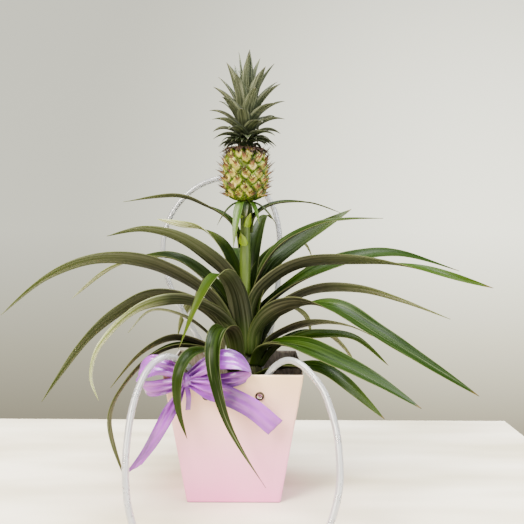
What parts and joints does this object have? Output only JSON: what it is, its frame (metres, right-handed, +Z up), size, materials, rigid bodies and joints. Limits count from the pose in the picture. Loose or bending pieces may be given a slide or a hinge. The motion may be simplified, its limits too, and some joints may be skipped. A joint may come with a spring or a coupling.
{
  "type": "potted pineapple plant",
  "caption": "Fruiting pineapple plant in a nursery pot, set in a tapered gift bag with clear tube handles and a satin bow; stands on its flat base.",
  "frame": {"origin": "middle of the gift bag's underside, on the surface that it stands on", "axes": "+Z up, +X to the viewer's right and -Y towards the viewer who faces the bow"},
  "size_m": [0.6023, 0.4791, 0.5735],
  "materials": {
    "bag_paper": "smooth printed card, matt",
    "rivet_chrome": "polished",
    "handle_tube": "clear soft vinyl, glossy",
    "pot_plastic": "moulded, matt",
    "soil": "crumbled peat, matt",
    "stem": "fibrous, matt",
    "stalk": "smooth green stalk, satin",
    "fruit": "scaly rind, satin",
    "crown": "stiff grey-green leaves, satin",
    "leaf": "waxy channelled leaves, glossy above and grey below",
    "ribbon_satin": "satin ribbon"
  },
  "bodies": {
    "root": {"gift_bag": "bag_paper", "rivet_front_right": "rivet_chrome", "rivet_front_left": "rivet_chrome", "rivet_rear_left": "rivet_chrome", "rivet_rear_right": "rivet_chrome", "handle_front": "handle_tube", "handle_rear": "handle_tube", "nursery_pot": "pot_plastic", "soil": "soil", "short_stem": "stem", "fruit_stalk": "stalk", "fruit": "fruit", "crown": "crown", "leaf_01": "leaf", "leaf_02": "leaf", "leaf_03": "leaf", "leaf_04": "leaf", "leaf_05": "leaf", "leaf_06": "leaf", "leaf_07": "leaf", "leaf_08": "leaf", "leaf_09": "leaf", "leaf_10": "leaf", "leaf_11": "leaf", "leaf_12": "leaf", "leaf_13": "leaf", "leaf_14": "leaf", "leaf_15": "leaf", "leaf_16": "leaf", "leaf_17": "leaf", "leaf_18": "leaf", "leaf_19": "leaf", "leaf_20": "leaf", "leaf_21": "leaf", "leaf_22": "leaf", "leaf_23": "leaf", "leaf_24": "leaf", "leaf_25": "leaf", "leaf_26": "leaf", "leaf_27": "leaf", "leaf_28": "leaf", "leaf_29": "leaf", "leaf_30": "leaf", "leaf_31": "leaf", "leaf_32": "leaf", "leaf_33": "leaf", "leaf_34": "leaf", "ribbon_bow": "ribbon_satin"}
  },
  "joints": []
}
